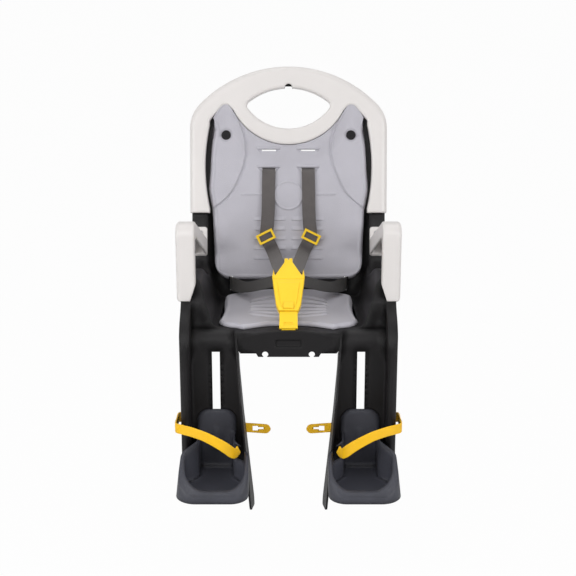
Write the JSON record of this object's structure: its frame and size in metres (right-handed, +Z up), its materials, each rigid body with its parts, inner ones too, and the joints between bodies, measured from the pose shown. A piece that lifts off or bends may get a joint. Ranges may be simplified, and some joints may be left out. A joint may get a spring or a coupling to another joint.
{
  "type": "rear child bike seat",
  "caption": "Moulded rear child seat for a bicycle with pale head frame and armrests, foam pads, yellow harness buckle and sliding footrests on two long legs.",
  "frame": {"origin": "on the seat's middle plane, level with the rear edges of the legs and 10 mm below the axes of the support fork's two rods", "axes": "+Z up, the seat faces -Y, +X to the right as seen from the front"},
  "size_m": [0.4028, 0.4747, 0.7868],
  "materials": {
    "shell": "fine-grained moulded",
    "trim": "satin moulded",
    "foam": "soft moulded foam",
    "webbing": "woven",
    "buckle": "satin moulded",
    "button": "moulded",
    "foot_cup": "fine-grained moulded",
    "foot_strap": "smooth rubber",
    "rivet": "moulded",
    "steel": "zinc plated",
    "socket": "moulded"
  },
  "bodies": {
    "seat": {"seat_shell": "shell", "head_frame": "trim", "armrest_left": "trim", "armrest_right": "trim", "back_pad": "foam", "seat_pad": "foam", "shoulder_strap_left": "webbing", "shoulder_strap_right": "webbing", "lap_strap_left": "webbing", "lap_strap_right": "webbing", "buckle_body": "buckle", "buckle_back": "buckle", "crotch_tab": "buckle", "pad_rivets": "rivet", "shoulder_strap_bar_left": "steel", "shoulder_strap_bar_right": "steel", "lap_strap_bar_left": "steel", "lap_strap_bar_right": "steel", "crotch_anchor": "steel", "release_spring": "steel", "frame_screws": "steel", "armrest_screws": "steel", "clamp_screws": "steel", "fork_clamp_plate": "steel", "fork_socket": "socket"},
    "tongue": {"buckle_tongue": "buckle"},
    "button": {"release_button": "button"},
    "adjuster_left": {"strap_adjuster_left": "buckle"},
    "adjuster_right": {"strap_adjuster_right": "buckle"},
    "foot_left": {"footrest_left": "foot_cup", "footrest_slider_left": "foot_cup", "footrest_screw_left": "steel", "foot_strap_left": "foot_strap"},
    "foot_right": {"footrest_right": "foot_cup", "footrest_slider_right": "foot_cup", "footrest_screw_right": "steel", "foot_strap_right": "foot_strap"}
  },
  "joints": [
    {"name": "tongue_slide", "type": "slide", "parent": "seat", "child": "tongue", "axis": [0, 0.7431, 0.6691], "range_m": [0, 0.035], "deforming": ["shoulder_strap_left", "shoulder_strap_right", "lap_strap_left", "lap_strap_right"]},
    {"name": "button_press", "type": "slide", "parent": "seat", "child": "button", "axis": [0, 0.6691, -0.7431], "range_m": [0, 0.003], "stiffness_N_per_m": 2500, "springref_m": -0.002, "deforming": ["release_spring"]},
    {"name": "adjuster_left_slide", "type": "slide", "parent": "seat", "child": "adjuster_left", "axis": [0.4462, -0.2241, -0.8664], "range_m": [0, 0.018]},
    {"name": "adjuster_right_slide", "type": "slide", "parent": "seat", "child": "adjuster_right", "axis": [-0.4462, -0.2241, -0.8664], "range_m": [0, 0.018]},
    {"name": "footrest_left_height", "type": "slide", "parent": "seat", "child": "foot_left", "axis": [0, 0, 1], "range_m": [-0.0115, 0.0805]},
    {"name": "footrest_right_height", "type": "slide", "parent": "seat", "child": "foot_right", "axis": [0, 0, 1], "range_m": [-0.0115, 0.0805]}
  ]
}
